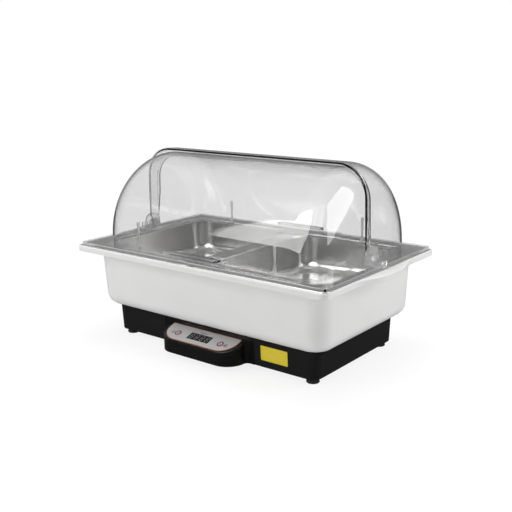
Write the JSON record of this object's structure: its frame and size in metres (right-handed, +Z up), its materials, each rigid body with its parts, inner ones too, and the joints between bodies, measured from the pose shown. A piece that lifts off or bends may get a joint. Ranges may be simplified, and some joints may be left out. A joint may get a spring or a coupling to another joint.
{
  "type": "electric chafing dish",
  "caption": "Countertop food warmer: electric base, white water tub, steel half pans and a clear roll-top cover with two nesting halves that turn on shared hinge pins.",
  "frame": {"origin": "middle of the footprint, on the surface that the feet stand on", "axes": "+X along the long side to the right as seen from the control panel, -Y towards the control panel, +Z up"},
  "size_m": [0.57, 0.336, 0.3332],
  "materials": {
    "black_plastic": "satin near-black moulded plastic with a fine grain",
    "black_sheet": "black powder-coated sheet steel",
    "foot_rubber": "matt black rubber",
    "zinc_steel": "bright zinc plating",
    "cast_aluminium": "machined cast aluminium",
    "element_sheath": "heat-darkened steel sheath",
    "folded_sheet": "bright folded sheet",
    "mineral_fibre": "pale mineral-fibre board",
    "inlet_plastic": "black engineering plastic",
    "gloss_black": "polished near-black moulded plastic",
    "silver_film": "satin silver-grey film",
    "copper_line": "thin copper-red edge line",
    "dark_lens": "smoked display lens",
    "board_laminate": "green printed-board laminate",
    "relay_case": "moulded component case",
    "button_cap": "silver-grey cap with a red ring",
    "white_plastic": "semi-gloss white moulded plastic",
    "pan_steel": "drawn stainless steel, brushed rim, bright well",
    "clear_plastic": "water-clear moulded polycarbonate"
  },
  "bodies": {
    "base": {"base_housing": "black_plastic", "bottom_cover": "black_sheet", "rubber_feet": "foot_rubber", "foot_screws": "zinc_steel", "cover_screws": "zinc_steel", "hot_plate": "cast_aluminium", "heating_element": "element_sheath", "heat_reflector": "folded_sheet", "insulation_pad": "mineral_fibre", "temperature_sensor": "zinc_steel", "thermal_cutout": "zinc_steel", "power_inlet": "inlet_plastic", "control_housing": "gloss_black", "control_overlay": "silver_film", "overlay_trim": "copper_line", "display_window": "dark_lens", "display_module": "inlet_plastic", "control_board": "board_laminate", "tact_switches": "inlet_plastic", "power_board": "board_laminate", "heater_relay": "relay_case", "board_transformer": "relay_case"},
    "power_button": {"power_button": "button_cap"},
    "set_button": {"set_button": "button_cap"},
    "tray": {"water_tray": "white_plastic"},
    "left_pan": {"left_food_pan": "pan_steel"},
    "right_pan": {"right_food_pan": "pan_steel"},
    "lid_frame": {"lid_frame": "clear_plastic", "front_left_post": "clear_plastic", "front_right_post": "clear_plastic", "back_left_post": "clear_plastic", "back_right_post": "clear_plastic", "left_hinge_bracket": "clear_plastic", "right_hinge_bracket": "clear_plastic", "left_hinge_pin": "clear_plastic", "right_hinge_pin": "clear_plastic"},
    "front_cover": {"front_cover": "clear_plastic"},
    "back_cover": {"back_cover": "clear_plastic"}
  },
  "joints": [
    {"name": "tray_lift", "type": "slide", "parent": "base", "child": "tray", "axis": [0, 0, 1], "range_m": [0, 0.1]},
    {"name": "lid_lift", "type": "slide", "parent": "tray", "child": "lid_frame", "axis": [0, 0, 1], "range_m": [0, 0.2]},
    {"name": "left_pan_lift", "type": "slide", "parent": "tray", "child": "left_pan", "axis": [0, 0, 1], "range_m": [0, 0.1]},
    {"name": "right_pan_lift", "type": "slide", "parent": "tray", "child": "right_pan", "axis": [0, 0, 1], "range_m": [0, 0.1]},
    {"name": "front_cover_hinge", "type": "hinge", "parent": "lid_frame", "child": "front_cover", "pos_m": [0, 0, 0.1843], "axis": [1, 0, 0], "range_deg": [-82, 0]},
    {"name": "back_cover_hinge", "type": "hinge", "parent": "lid_frame", "child": "back_cover", "pos_m": [0, 0, 0.1843], "axis": [1, 0, 0], "range_deg": [0, 82]},
    {"name": "power_button_press", "type": "slide", "parent": "base", "child": "power_button", "axis": [0, 0.3091, -0.951], "range_m": [0, 0.0005], "stiffness_N_per_m": 400},
    {"name": "set_button_press", "type": "slide", "parent": "base", "child": "set_button", "axis": [0, 0.3091, -0.951], "range_m": [0, 0.0005], "stiffness_N_per_m": 400}
  ],
  "couplings": [
    {"joint": "left_pan_lift", "follows": "lid_lift", "ratio": 0.5},
    {"joint": "right_pan_lift", "follows": "lid_lift", "ratio": 0.5}
  ]
}
